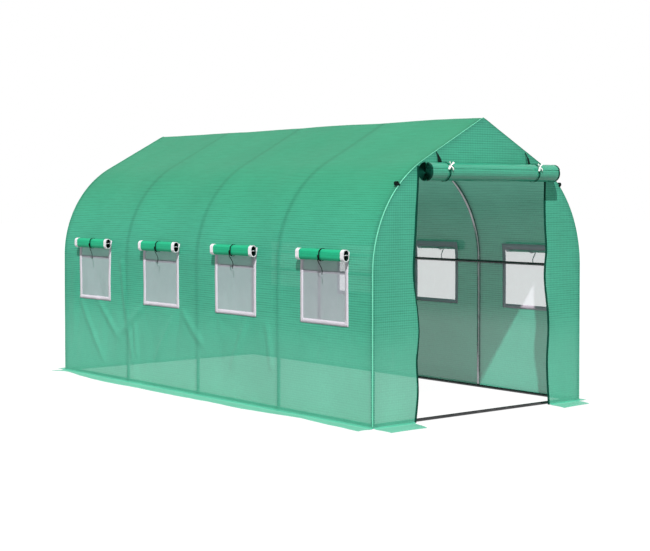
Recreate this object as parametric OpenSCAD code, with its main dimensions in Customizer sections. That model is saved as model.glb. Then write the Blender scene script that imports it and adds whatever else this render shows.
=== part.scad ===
// Walk-in polytunnel greenhouse: five push-fit steel hoops, rails and a ridge pole
// under a fabric cover with a rolled-up door and eight rolled-up windows.
// The tunnel runs along Y with its door at -Y. The ground is z = 0.

/* [Tunnel] */
// Width over the cover at the side walls
tunnel_w = 2000; // [1800:10:2400]
// Length over the cover at the end panels
tunnel_l = 4000; // [3600:10:5000]
// Height of the upright part of each side
leg_h = 990; // [950:5:1200]
// Radius of the rounded shoulder, outside the cover
shoulder_r = 840; // [650:1:900]
// Turn of the shoulder from upright towards the ridge, in degrees
shoulder_turn = 62; // [55:1:68]

/* [Frame] */
// Outer diameter of the hoop tubes
hoop_d = 25; // [22:0.5:32]
// Outer diameter of the rails and the ridge pole
rail_d = 22; // [18:0.5:28]
// Wall thickness of every tube
tube_wall = 1; // [0.8:0.1:1.5]
// Length of the narrowed end that pushes into the next tube
spigot_l = 45; // [30:1:60]
// Length of each arm of the elbow at the ridge
elbow_l = 70; // [50:1:120]
// Distance from the top of each leg down to the side rails
mid_rail_drop = 6; // [0:1:300]

/* [Cover] */
// Thickness of the cover fabric with its hems
cover_t = 3; // [2:0.5:5]
// Width of the flap that lies on the ground along each side
side_skirt_w = 140; // [100:5:250]
// Width of the flap that lies on the ground at each end
end_skirt_w = 190; // [100:5:250]
// How far the side flaps run on past each end panel
skirt_over = 15; // [5:1:40]

/* [Doorway] */
// Clear width of the doorway
door_w = 1250; // [900:10:1400]
// Height of the top of the doorway above the legs
door_rise = 620; // [460:5:650]
// Width of the zip tape on each edge of the doorway
zip_w = 12; // [8:1:20]
// Outer diameter of the rolled-up door
door_roll_d = 121; // [90:1:130]
// Distance between the turns of the rolled-up door
door_roll_step = 5; // [4:0.5:7]
// Number of turns of the rolled-up door
door_roll_turns = 6; // [4:0.5:8]
// How far the rolled-up door sits towards +X of the middle
door_roll_shift = 20; // [0:1:60]
// Height of the middle of the rolled-up door above the top of the doorway
door_roll_rise = 40; // [0:1:60]
// Distance from the middle to each strap of the rolled-up door
strap_x = 430; // [300:5:480]

/* [Windows] */
// Width of each window over its border
window_w = 503; // [300:1:700]
// Height of each window over its border
window_h = 480; // [300:5:500]
// Height of the upper edge of the windows above the legs
window_rise = 126; // [20:1:140]
// How far the cover laps over the edge of each net
net_lap = 6; // [4:1:20]
// Width of the border around each window
border_w = 30; // [20:1:50]
// Thickness of the border tape
border_t = 2; // [1:0.5:3]
// Thickness of the insect net
net_t = 1; // [0.8:0.1:2]
// Thickness of each rolled-up window flap, measured out from the wall
window_roll_w = 52; // [36:1:60]
// Height of the section of each rolled-up window flap
window_roll_h = 84; // [64:1:100]
// Distance between the turns of the rolled-up window flaps
window_roll_step = 3; // [2.6:0.1:4]
// Length of each rolled-up window flap
window_roll_l = 505; // [350:5:760]
// Height of the middle of the rolled-up flaps above the legs
window_roll_rise = 112; // [30:1:130]
// How far each rolled-up flap sits towards the door from its window's middle
window_roll_shift = 18; // [0:1:40]

/* [Straps and loops] */
// Thickness of straps and webbing
strap_t = 2; // [1.5:0.5:3]
// Width of the door straps
door_strap_w = 16; // [12:1:30]
// Width of the window ties
tie_w = 12; // [6:1:20]
// How far each tie sits towards the door from its window's middle
tie_shift = 22; // [0:1:80]
// Length of the loose end of each window tie
tie_tail = 105; // [60:5:160]
// Turn of the shoulder at the webbing loops of the front seam, in degrees
loop_turn = 43; // [20:1:60]
// Inner diameter of the webbing loops
loop_d = 24; // [16:1:40]
// Width of the webbing of the loops
loop_w = 20; // [10:1:30]

/* [Hidden] */

// Gap between pieces that rest against each other
seat = 0.3;
// Radial clearance of a narrowed tube end in the next tube
push_gap = 0.2;
// How far the flaps in front of the door lean towards -X at their outer edge
flap_lean_near = 16;
flap_lean_far = 68;
// Tiny overlap that joins shapes of one piece
lap = 1;
// Circle resolution
fine = 64;
// Thickness of the film where it is rolled up
roll_t = 1.5;
// Degrees between two points of a rolled-up flap's outline
roll_turn = 15;
steel = "silver";
green = "mediumseagreen";
pale = "gainsboro";
dark = "darkslategray";

half_w = tunnel_w / 2;
half_l = tunnel_l / 2;
bays = 4;
door_h = leg_h + door_rise;
door_roll_z = door_h + door_roll_rise;
// The rolled-up door is as wide as the doorway
door_roll_l = door_w;
window_z = leg_h + window_rise - window_h;
window_roll_z = leg_h + window_roll_rise;
mid_rail_z = leg_h - mid_rail_drop;
base_rail_z = rail_d / 2;
// Pitch of the roof from level
pitch = 90 - shoulder_turn;
// Centre of the shoulder's curve
arc_x = half_w - shoulder_r;
// Where the shoulder's curve ends and the straight roof starts, outside the cover
arc_end_x = arc_x + shoulder_r * cos(shoulder_turn);
arc_end_z = leg_h + shoulder_r * sin(shoulder_turn);
ridge_z = arc_end_z + arc_end_x * tan(pitch);
// The frame lies inside the cover by this much, measured to the tube's centre
frame_in = cover_t + seat + hoop_d / 2;
hoop_x = half_w - frame_in;
hoop_r = shoulder_r - frame_in;
hoop_y = half_l - frame_in;
bay_l = 2 * hoop_y / bays;
roof_x = arc_x + hoop_r * cos(shoulder_turn);
roof_z = leg_h + hoop_r * sin(shoulder_turn);
rafter_l = roof_x / cos(pitch);
apex_z = roof_z + roof_x * tan(pitch);
bore_d = hoop_d - 2 * tube_wall;
spigot_d = bore_d - 2 * push_gap;
rail_x = hoop_x - hoop_d / 2 - seat - rail_d / 2;
cross_rail_y = hoop_y - hoop_d / 2 - seat - rail_d / 2;
pole_z = apex_z - (hoop_d / 2 + seat + rail_d / 2) / cos(pitch);
// The side cover runs between the end panels
side_l = tunnel_l - 2 * (cover_t + seat);
window_y = [for (i = [0:bays - 1]) (i - (bays - 1) / 2) * bay_l];
// Opening inside the border
clear_w = window_w - 2 * border_w;
clear_z = window_z + border_w;
clear_h = window_h - 2 * border_w;
// Opening in the cover behind the net
hole_w = window_w - 2 * net_lap;
hole_z = window_z + net_lap;
hole_h = window_h - 2 * net_lap;
net_x = half_w + seat;
border_x = net_x + net_t + seat;
window_roll_x = border_x + border_t + seat + strap_t + seat + window_roll_w / 2;
door_roll_y = half_l + seat + strap_t + seat + door_roll_d / 2;
// The straps start at the seam between the front gable and the roof
strap_top_z = ridge_z - (strap_x + door_strap_w / 2) * tan(pitch) - cover_t;

module tube(d, l) {
    difference() {
        cylinder(d = d, h = l, $fn = fine);
        translate([0, 0, -lap]) cylinder(d = d - 2 * tube_wall, h = l + 2 * lap, $fn = fine);
    }
}

// A rail along Y, centred on the middle of the tunnel
module long_rail(x, z) {
    translate([x, side_l / 2, z]) rotate([90, 0, 0]) tube(rail_d, side_l);
}

// A rail along X between the side rails
module cross_rail(y) {
    l = 2 * (rail_x - rail_d / 2 - seat);
    translate([-l / 2, y, base_rail_z]) rotate([0, 90, 0]) tube(rail_d, l);
}

// The narrowed end of a hoop tube, from its step at z = 0 upwards
module spigot() {
    difference() {
        union() {
            cylinder(d = spigot_d, h = spigot_l, $fn = fine);
            translate([0, 0, -lap]) cylinder(d = hoop_d - tube_wall, h = lap, $fn = fine);
        }
        translate([0, 0, -2 * lap])
            cylinder(d = spigot_d - 2 * tube_wall, h = spigot_l + 4 * lap, $fn = fine);
    }
}

// The curved shoulder tube of the +X side, with a narrowed end above and below
module bend() {
    translate([arc_x, 0, leg_h]) rotate([90, 0, 0]) {
        rotate_extrude(angle = shoulder_turn, $fn = 2 * fine) translate([hoop_r, 0])
            difference() {
                circle(d = hoop_d, $fn = fine);
                circle(d = bore_d, $fn = fine);
            }
        translate([hoop_r, 0, 0]) rotate([90, 0, 0]) spigot();
        rotate([0, 0, shoulder_turn]) translate([hoop_r, 0, 0]) rotate([-90, 0, 0]) spigot();
    }
}

module half_hoop() {
    translate([hoop_x, 0, 0]) tube(hoop_d, leg_h - seat);
    bend();
    // The straight roof tube runs from the bend to the ridge elbow
    translate([roof_x, 0, roof_z]) rotate([0, pitch - 90, 0]) translate([0, 0, seat])
        tube(hoop_d, rafter_l - elbow_l - 2 * seat);
}

module hoop(i) {
    color(steel) translate([0, -hoop_y + i * bay_l, 0]) {
        half_hoop();
        mirror([1, 0, 0]) half_hoop();
    }
}

// One arm of the elbow: a collar of the tube's diameter, then the end inside the roof tube
module elbow_arm() {
    intersection() {
        translate([0, 0, apex_z]) rotate([0, 90 + pitch, 0]) translate([0, 0, -hoop_d]) {
            cylinder(d = hoop_d, h = elbow_l + hoop_d, $fn = fine);
            cylinder(d = spigot_d, h = elbow_l + hoop_d + spigot_l, $fn = fine);
        }
        translate([0, -hoop_d, 0]) cube([half_w, 2 * hoop_d, tunnel_w + leg_h]);
    }
}

module ridge_elbows() {
    color(steel) for (i = [0:bays]) translate([0, -hoop_y + i * bay_l, 0]) {
        elbow_arm();
        mirror([1, 0, 0]) elbow_arm();
    }
}

module ridge_pole() {
    color(steel) long_rail(0, pole_z);
}

module mid_rail(side) {
    color(steel) long_rail(side * rail_x, mid_rail_z);
}

module base_rail(side) {
    color(steel) long_rail(side * rail_x, base_rail_z);
}

module front_base_rail() {
    color(steel) cross_rail(-cross_rail_y);
}

module back_base_rail() {
    color(steel) cross_rail(cross_rail_y);
}

module window_holes() {
    for (y = window_y) translate([0, y - hole_w / 2, hole_z]) cube([tunnel_w, hole_w, hole_h]);
}

// Draws its children, made for the +X side, on the side asked for
module on_side(side) {
    mirror([side < 0 ? 1 : 0, 0, 0]) children();
}

module wall(side) {
    color(green) on_side(side) difference() {
        translate([half_w - cover_t, -side_l / 2, 0]) cube([cover_t, side_l, leg_h - seat]);
        window_holes();
    }
}

module shoulder(side) {
    color(green) on_side(side) difference() {
        translate([arc_x, 0, leg_h]) rotate([90, 0, 0])
            rotate_extrude(angle = shoulder_turn, $fn = 2 * fine)
                translate([shoulder_r - cover_t, -side_l / 2]) square([cover_t, side_l]);
        window_holes();
    }
}

module roof(side) {
    low = [arc_end_x - seat * cos(pitch), arc_end_z + seat * sin(pitch)];
    drop = cover_t / cos(pitch);
    color(green) on_side(side) translate([0, side_l / 2, 0]) rotate([90, 0, 0])
        linear_extrude(side_l) polygon([
            low,
            [seat / 2, ridge_z - seat / 2 * tan(pitch)],
            [seat / 2, ridge_z - seat / 2 * tan(pitch) - drop],
            low - cover_t * [sin(pitch), cos(pitch)]
        ]);
}

// Outline of the tunnel seen from an end, outside the cover
module end_outline() {
    polygon([
        [half_w, 0], [half_w, leg_h], [arc_end_x, arc_end_z], [0, ridge_z],
        [-arc_end_x, arc_end_z], [-half_w, leg_h], [-half_w, 0]
    ]);
    for (s = [-1, 1]) translate([s * arc_x, leg_h]) circle(r = shoulder_r, $fn = 2 * fine);
}

// A flat sheet of the end outline between two heights and two distances from the middle
module end_sheet(y, x0, x1, z0, z1) {
    translate([0, y, 0]) rotate([90, 0, 0]) linear_extrude(cover_t) intersection() {
        end_outline();
        translate([x0, z0]) square([x1 - x0, z1 - z0]);
    }
}

module front_gable() {
    color(green) end_sheet(cover_t - half_l, -half_w, half_w, door_h, ridge_z + lap);
}

module front_panel_left() {
    color(green) end_sheet(cover_t - half_l, -half_w, -door_w / 2, 0, door_h - seat);
}

module front_panel_right() {
    color(green) end_sheet(cover_t - half_l, door_w / 2, half_w, 0, door_h - seat);
}

module back_panel() {
    color(green) end_sheet(half_l, -half_w, half_w, 0, ridge_z + lap);
}

module side_skirt(side) {
    l = tunnel_l + 2 * skirt_over;
    color(green) on_side(side) translate([half_w + seat, -l / 2, 0])
        cube([side_skirt_w - seat, l, cover_t]);
}

// A flap on the ground in front of one end panel, from x0 to x1 at the panel
module front_flap(x0, x1) {
    color(green) translate([0, -half_l - seat, 0]) linear_extrude(cover_t) polygon([
        [x0, 0], [x1, 0], [x1 - flap_lean_far, seat - end_skirt_w],
        [x0 - flap_lean_near, seat - end_skirt_w], [x0, -skirt_over - seat]
    ]);
}

module back_skirt() {
    color(green) translate([-half_w, half_l + seat, 0])
        cube([tunnel_w, end_skirt_w - seat, cover_t]);
}

module window_nets(side) {
    color(pale) on_side(side) for (y = window_y)
        translate([net_x, y - window_w / 2, window_z]) cube([net_t, window_w, window_h]);
}

module window_borders(side) {
    color("white") on_side(side) for (y = window_y) difference() {
        translate([border_x, y - window_w / 2, window_z]) cube([border_t, window_w, window_h]);
        translate([border_x - lap, y - hole_w / 2, hole_z])
            cube([border_t + 2 * lap, clear_w, clear_h]);
    }
}

// Radius of a roll's centre line after turning by a, from an outer radius r
function roll_r(r, step, a) = r - step * a / 360;

// Centre line of a round roll that starts at its top and turns inwards
function round_roll(r, step, turns) = [
    for (a = [0:roll_turn:360 * turns]) roll_r(r, step, a) * [sin(a), cos(a)]
];

// Centre line of a tall roll: each half turn is a half circle, with its middle c above
// the roll's middle over the top and c below it under the bottom
function tall_roll(r, step, turns, c) = [
    for (k = [0:2 * turns - 1], a = [180 * k:roll_turn:180 * (k + 1)])
        roll_r(r, step, a) * [-cos(a), sin(a)] + [0, k % 2 == 0 ? c : -c]
];

// The last turn of a tall roll, closed to a loop around the upper half's middle
function upper_loop(r, step, turns, c) = [
    for (a = [360 * turns:roll_turn:360 * (turns + 1)])
        roll_r(r, step, a) * [-cos(a), sin(a)] + [0, c]
];

// Direction square to the line at its point i
function across(line, i) = let(
        d = line[min(i + 1, len(line) - 1)] - line[max(i - 1, 0)]
    ) [-d[1], d[0]] / norm(d);

// A strip of the film's thickness along a centre line
module strip(line) {
    last = len(line) - 1;
    polygon(concat(
        [for (i = [0:last]) line[i] + roll_t / 2 * across(line, i)],
        [for (i = [last:-1:0]) line[i] - roll_t / 2 * across(line, i)]
    ));
}

module window_rolls(side) {
    r = (window_roll_w - roll_t) / 2;
    c = (window_roll_h - window_roll_w) / 2;
    line = concat(
        tall_roll(r, window_roll_step, 2, c),
        upper_loop(r, window_roll_step, 2, c)
    );
    color(green) on_side(side) for (y = window_y)
        translate([window_roll_x, y - window_roll_shift + window_roll_l / 2, window_roll_z])
            rotate([90, 0, 0]) linear_extrude(window_roll_l) strip(line);
}

// A band around a roll along Z, centred on it
module band(d, w) {
    translate([0, 0, -w / 2]) difference() {
        cylinder(d = d + 2 * seat + 2 * strap_t, h = w, $fn = fine);
        translate([0, 0, -lap]) cylinder(d = d + 2 * seat, h = w + 2 * lap, $fn = fine);
    }
}

// Outline of a tall roll, w wide and h high
module tall_outline(w, h) {
    for (s = [-1, 1]) translate([0, s * (h - w) / 2]) circle(d = w, $fn = fine);
    square([w, h - w], center = true);
}

module tall_band(w, h, l) {
    inner = 2 * seat;
    outer = 2 * seat + 2 * strap_t;
    linear_extrude(l, center = true) difference() {
        tall_outline(w + outer, h + outer);
        tall_outline(w + inner, h + inner);
    }
}

module window_ties(side) {
    low = window_roll_h / 2 + seat + tie_tail;
    color(dark) on_side(side) for (y = window_y)
        translate([window_roll_x, y - tie_shift, window_roll_z]) {
            rotate([90, 0, 0]) tall_band(window_roll_w, window_roll_h, tie_w);
            translate([-strap_t / 2, -tie_w / 2, -low]) cube([strap_t, tie_w, tie_tail - strap_t / 2]);
        }
}

module door_roll() {
    line = round_roll((door_roll_d - roll_t) / 2, door_roll_step, door_roll_turns);
    color(green) translate([door_roll_shift - door_roll_l / 2, -door_roll_y, door_roll_z])
        rotate([90, 0, 90]) linear_extrude(door_roll_l) strip(line);
}

module door_straps() {
    // The flat part runs from the seam to the front of the roll, where it ends inside the
    // band, so it is a little thinner and narrower than the band
    flat_t = 0.8 * strap_t;
    flat_w = 0.95 * door_strap_w;
    r = door_roll_d / 2 + seat + strap_t / 2;
    out = door_roll_y - half_l - seat - strap_t / 2;
    up = strap_top_z - door_roll_z;
    reach = norm([out, up]);
    lean = atan(out / up) + asin(r / reach);
    l = sqrt(reach * reach - r * r);
    color(dark) for (s = [-1, 1]) translate([s * strap_x, 0, 0]) {
        translate([0, -door_roll_y, door_roll_z]) rotate([0, 90, 0]) band(door_roll_d, door_strap_w);
        translate([-flat_w / 2, out - door_roll_y, strap_top_z]) rotate([-lean, 0, 0])
            translate([0, -flat_t / 2, -l]) cube([flat_w, flat_t, l]);
    }
}

module door_zip(side) {
    color(dark) on_side(side) translate([door_w / 2 - zip_w, -half_l, 0])
        cube([zip_w - seat, cover_t, door_h - seat]);
}

module webbing_loops() {
    away = shoulder_r + seat + strap_t + loop_d / 2;
    color(dark) for (s = [-1, 1])
        translate([s * (arc_x + away * cos(loop_turn)), cover_t + seat + loop_w / 2 - half_l,
            leg_h + away * sin(loop_turn)])
            rotate([90, 0, 0]) band(loop_d - 2 * seat, loop_w);
}

hoop(0);  // hoop_front
hoop(1);  // hoop_second
hoop(2);  // hoop_middle
hoop(3);  // hoop_fourth
hoop(4);  // hoop_back
ridge_elbows();
ridge_pole();
mid_rail(-1);  // left_mid_rail
mid_rail(1);  // right_mid_rail
base_rail(-1);  // left_base_rail
base_rail(1);  // right_base_rail
front_base_rail();
back_base_rail();
wall(-1);  // left_wall
wall(1);  // right_wall
shoulder(-1);  // left_shoulder
shoulder(1);  // right_shoulder
roof(-1);  // left_roof
roof(1);  // right_roof
front_gable();
front_panel_left();
front_panel_right();
back_panel();
side_skirt(-1);  // left_skirt
side_skirt(1);  // right_skirt
front_flap(-half_w, -door_w / 2);  // front_skirt_left
front_flap(door_w / 2, half_w);  // front_skirt_right
back_skirt();
window_nets(-1);  // left_window_nets
window_nets(1);  // right_window_nets
window_borders(-1);  // left_window_borders
window_borders(1);  // right_window_borders
window_rolls(-1);  // left_window_rolls
window_rolls(1);  // right_window_rolls
window_ties(-1);  // left_window_ties
window_ties(1);  // right_window_ties
door_roll();
door_straps();
door_zip(-1);  // door_zip_left
door_zip(1);  // door_zip_right
webbing_loops();
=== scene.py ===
import math
from functools import partial

import bmesh
import bpy
import numpy as np
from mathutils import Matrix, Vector, noise
from mathutils.geometry import delaunay_2d_cdt


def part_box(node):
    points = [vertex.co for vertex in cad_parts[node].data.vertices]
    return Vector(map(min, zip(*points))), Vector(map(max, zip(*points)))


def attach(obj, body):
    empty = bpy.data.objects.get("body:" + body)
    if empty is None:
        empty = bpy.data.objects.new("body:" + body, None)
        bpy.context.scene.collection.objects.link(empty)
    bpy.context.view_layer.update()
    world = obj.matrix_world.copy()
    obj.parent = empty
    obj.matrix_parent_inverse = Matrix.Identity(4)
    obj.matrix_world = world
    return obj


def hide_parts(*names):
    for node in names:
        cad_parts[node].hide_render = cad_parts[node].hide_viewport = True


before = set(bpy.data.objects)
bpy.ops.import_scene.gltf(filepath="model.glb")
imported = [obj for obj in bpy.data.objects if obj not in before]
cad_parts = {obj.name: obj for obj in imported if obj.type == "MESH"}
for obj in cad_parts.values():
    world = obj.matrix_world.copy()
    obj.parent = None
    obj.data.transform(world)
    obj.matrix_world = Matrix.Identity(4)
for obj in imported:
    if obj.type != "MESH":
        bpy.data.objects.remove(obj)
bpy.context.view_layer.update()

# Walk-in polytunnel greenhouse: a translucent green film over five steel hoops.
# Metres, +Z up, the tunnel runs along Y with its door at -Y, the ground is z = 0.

# Sizes of the cover, taken from the frame
HALF_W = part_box("right_wall")[1][0]
HALF_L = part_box("back_panel")[1][1]
LEG_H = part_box("right_shoulder")[0][2]
RIDGE_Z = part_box("back_panel")[1][2]
SHOULDER_TURN = math.radians(62)
SHOULDER_R = (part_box("right_shoulder")[1][2] - LEG_H) / math.sin(SHOULDER_TURN)
PITCH = math.pi / 2 - SHOULDER_TURN
ARC_X = HALF_W - SHOULDER_R
ARC_END_X = ARC_X + SHOULDER_R * math.cos(SHOULDER_TURN)
ARC_L = SHOULDER_R * SHOULDER_TURN
# Radius of the film's bend over the ridge
RIDGE_R = 0.02
SLOPE_L = ARC_END_X / math.cos(PITCH) - RIDGE_R * math.tan(PITCH)
HALF_S = LEG_H + ARC_L + SLOPE_L + RIDGE_R * PITCH
# A sheet lies in the middle of the solids' 3 mm film, whose outer face is the outline
FILM_IN = 0.0015
# The most that a fold stands out of it
FOLD_OUT = 0.010
HOOPS = ["hoop_front", "hoop_second", "hoop_middle", "hoop_fourth", "hoop_back"]
HOOP_Y = [(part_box(n)[0][1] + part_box(n)[1][1]) / 2 for n in HOOPS]
BAY_L = HOOP_Y[1] - HOOP_Y[0]
WINDOW_Y = [(a + b) / 2 for a, b in zip(HOOP_Y, HOOP_Y[1:])]
NET_LOW, NET_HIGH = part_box("right_window_nets")
WINDOW_Z0, WINDOW_Z1 = NET_LOW[2], NET_HIGH[2]
WINDOW_W = NET_HIGH[1] - NET_LOW[1] - 3 * BAY_L
# How far the left wall's windows sit off the middle of their bays
LEFT_SHIFT = (-0.017, 0.0, -0.004, 0.003)
BORDER_W = 0.030
# How far the film reaches into a window on each side
NET_LAP = 0.006
DOOR_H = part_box("front_gable")[0][2]
# Top of the tape round a window
HEM_TOP = WINDOW_Z1 + 0.012
SKIRT_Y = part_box("back_skirt")[1][1]
# Rolled-up window flaps of the right side. A tie takes 3 mm outside its roll's width
ROLL_LOW, ROLL_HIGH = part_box("right_window_rolls")
TIE_LOW, TIE_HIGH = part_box("right_window_ties")
ROLL_W = TIE_HIGH[0] - ROLL_LOW[0] - 0.003
ROLL_L = ROLL_HIGH[1] - ROLL_LOW[1] - 3 * BAY_L
ROLL_X, ROLL_Z = ROLL_LOW[0] + ROLL_W / 2, (ROLL_LOW[2] + ROLL_HIGH[2]) / 2
# How far its round upper and lower end are from its middle
ROLL_C = (ROLL_HIGH[2] - ROLL_LOW[2] - ROLL_W) / 2
# How far rolls and ties sit off the middle of their bays
ROLL_DY = (ROLL_LOW[1] + ROLL_HIGH[1]) / 2
TIE_DY = (TIE_LOW[1] + TIE_HIGH[1]) / 2

# Distance between the film's threads, and the most between two points of a sheet
THREAD = 0.016
STEP = 0.022
# Heights between which the clearer film near the ground ends, and the colour painted onto the film near the
# ground, a painted light from the white floor
CLEAR_Z = (0.44, 0.70)
GROUND_LIGHT_COLOUR = (0.36, 0.76, 0.62)
# Height above which the film has all of its painted roof shade
ROOF_Z = 1.75


# Smooth random values

def wobble(x, y, scale, seed=0.0):
    """Smooth noise from about -1 to 1 with features of the given size."""
    return noise.noise(Vector((x / scale + seed, y / scale - seed * 1.7, seed * 3.1)))


def ease(x, low, high):
    """Goes smoothly from 0 to 1 while x goes from low to high."""
    t = min(1.0, max(0.0, (x - low) / (high - low)))
    return t * t * (3 - 2 * t)


# The tunnel's outline

def outline(s):
    """Point and outward normal, (x, z, nx, nz), at distance s along the cover. s starts on the
    ground at -X and goes over the ridge to the ground at +X."""
    side = -1.0
    if s > HALF_S:
        side, s = 1.0, 2 * HALF_S - s
    if s <= LEG_H:
        return side * HALF_W, s, side, 0.0
    s -= LEG_H
    if s <= ARC_L:
        a = s / SHOULDER_R
        nx, nz = math.cos(a), math.sin(a)
        return side * (ARC_X + SHOULDER_R * nx), LEG_H + SHOULDER_R * nz, side * nx, nz
    s -= ARC_L
    nx, nz = math.cos(SHOULDER_TURN), math.sin(SHOULDER_TURN)
    x0 = ARC_END_X
    z0 = LEG_H + SHOULDER_R * nz
    if s <= SLOPE_L:
        return side * (x0 - s * nz), z0 + s * nx, side * nx, nz
    a = SHOULDER_TURN + (s - SLOPE_L) / RIDGE_R
    cx = x0 - SLOPE_L * nz - RIDGE_R * nx
    cz = z0 + SLOPE_L * nx - RIDGE_R * nz
    nx, nz = math.cos(a), math.sin(a)
    return side * (cx + RIDGE_R * nx), cz + RIDGE_R * nz, side * nx, nz


def half_width(z):
    """Half of the tunnel's width at height z."""
    if z <= LEG_H:
        return HALF_W
    arc_end_z = LEG_H + SHOULDER_R * math.sin(SHOULDER_TURN)
    if z <= arc_end_z:
        return ARC_X + math.sqrt(SHOULDER_R ** 2 - (z - LEG_H) ** 2)
    return max(0.0, ARC_END_X - (z - arc_end_z) / math.tan(PITCH))


# Folds and sag of the film

def corner_folds(y, z):
    """Folds that run out from the lower corners of the windows."""
    total = 0.0
    for k, yc in enumerate(WINDOW_Y):
        for e in (-1, 1):
            dy, dz = y - (yc + e * WINDOW_W / 2), z - WINDOW_Z0
            if dz > 0.02 or abs(dy) > 0.5:
                continue
            d = math.hypot(dy, dz)
            a = math.atan2(dy, -dz)
            total += math.exp(-d / 0.16) * ease(d, 0.0, 0.05) * math.sin(7 * a + k * 1.3 + e)
    return total


# Folds of the left wall under the windows, each from (y, z) to (y, z)
FOLDS = [((1.08, 1.05), (1.02, 0.66)), ((1.02, 0.66), (0.90, 0.20)), ((1.71, 0.60), (1.41, 0.20)),
         ((1.44, 0.63), (1.13, 0.36)), ((0.33, 0.56), (0.55, 0.24)), ((0.75, 0.62), (1.07, 0.39)),
         ((0.87, 0.47), (0.84, 0.21)), ((0.17, 0.60), (-0.05, 0.40)), ((-0.62, 0.58), (-0.45, 0.26)),
         ((-0.88, 0.57), (-0.93, 0.30))]


def wall_folds(y, z):
    """Soft ridges along the folds under the windows."""
    total = 0.0
    for (y0, z0), (y1, z1) in FOLDS:
        f = (z0 - z) / (z0 - z1)
        if -0.3 < f < 1.3:
            d = (y - (y0 + (y1 - y0) * f)) / math.hypot(1.0, (y1 - y0) / (z1 - z0))
            total += math.exp(-(d / 0.024) ** 2) * ease(f, -0.3, 0.25) * (1 - ease(f, 0.75, 1.3))
    return total


def ridge_lift(x, y):
    """How far the film stands up along the ridge, between the front hoops most."""
    f = (y - HOOP_Y[0]) / BAY_L
    front = ease(-y, -0.9, 0.5)
    bulge = 0.0035 + 0.0080 * math.sin(math.pi * min(max(f, 0.0), 4.0)) ** 2
    return bulge * front * ease(HALF_L - abs(y), 0.0, 0.10) * (1 - ease(abs(x), 0.0, 0.40))


def long_folds(y, z):
    """Slanted folds that hang between the windows, strongest in the two bays at the back."""
    strong = 0.35 + 0.65 * ease(y, -0.2, 0.8)
    tall = ease(z, 0.02, 0.25) * (1 - ease(z, 0.80, 1.02))
    lean = y + 0.16 * (z - 0.5)
    swing = wobble(lean, z * 0.12, 0.10, 21) + 0.6 * wobble(y - 0.30 * (z - 0.5), z * 0.1, 0.17, 27)
    return 0.0075 * strong * tall * swing


def sag(y, s):
    """How far the film lies inside its outline."""
    low = min(s, 2 * HALF_S - s)
    side = 0.0 if s < HALF_S else 40.0
    f = (y - HOOP_Y[0]) / BAY_L
    between = math.sin(math.pi * min(max(f, 0.0), 4.0)) ** 2
    taut = 1 - math.exp(-(abs(f - round(f)) * BAY_L / 0.05) ** 2)
    depth = 0.003 + 0.004 * ease(low, LEG_H, LEG_H + 0.5) * (1 - ease(low, 1.9, 2.4))
    d = depth * between
    d += taut * 0.0020 * (wobble(y, s, 0.42, 3 + side) + 0.6 * wobble(y, s, 0.17, 9 + side))
    if low < LEG_H:
        d += taut * 0.0028 * corner_folds(y, low)
        d += taut * 0.0030 * math.exp(-low / 0.22) * wobble(y, low * 0.25, 0.11, 5 + side)
        d += taut * long_folds(y, low)
        if side == 0.0:
            d -= 0.0135 * wall_folds(y, low)
    return d


def depth_in(y, s):
    """How far the sheet lies inside the outline."""
    return FILM_IN + max(sag(y, s), -FOLD_OUT)


# Pieces

def mesh_object(name, verts, faces, mat, uvs=None, smooth=True):
    """A piece of these faces. mat is one material or a list, and uvs has one pair for each vertex."""
    mesh = bpy.data.meshes.new(name)
    mesh.from_pydata([tuple(v) for v in verts], [], [tuple(f) for f in faces])
    mesh.update()
    if uvs is not None:
        layer = mesh.uv_layers.new(name="UVMap")
        index = np.zeros(len(mesh.loops), np.int32)
        mesh.loops.foreach_get("vertex_index", index)
        layer.data.foreach_set("uv", np.asarray(uvs, np.float32)[index].ravel())
    mesh.polygons.foreach_set("use_smooth", [smooth] * len(mesh.polygons))
    obj = bpy.data.objects.new(name, mesh)
    bpy.context.scene.collection.objects.link(obj)
    for m in mat if isinstance(mat, (list, tuple)) else [mat]:
        mesh.materials.append(m)
    return obj


def lines(low, high, step, stops=()):
    """Values from low to high at most step apart that include every stop."""
    marks = sorted({low, high, *[x for x in stops if low < x < high]})
    out = [low]
    for a, b in zip(marks, marks[1:]):
        n = max(1, math.ceil((b - a) / step - 1e-6))
        out += [a + (b - a) * i / n for i in range(1, n + 1)]
    return out


def grid_sheet(name, us, vs, place, mat, holes=(), uv=None):
    """A sheet of faces over the grid us by vs, without those in holes (u0, u1, v0, v1)."""
    index, verts, uvs, faces = {}, [], [], []

    def vertex(i, j):
        if (i, j) not in index:
            index[i, j] = len(verts)
            verts.append(place(us[i], vs[j]))
            uvs.append(uv(us[i], vs[j]) if uv else (us[i], vs[j]))
        return index[i, j]

    for i in range(len(us) - 1):
        um = (us[i] + us[i + 1]) / 2
        for j in range(len(vs) - 1):
            vm = (vs[j] + vs[j + 1]) / 2
            if any(a < um < b and c < vm < d for a, b, c, d in holes):
                continue
            faces.append((vertex(i, j), vertex(i + 1, j), vertex(i + 1, j + 1), vertex(i, j + 1)))
    return mesh_object(name, verts, faces, mat, uvs)


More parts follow.
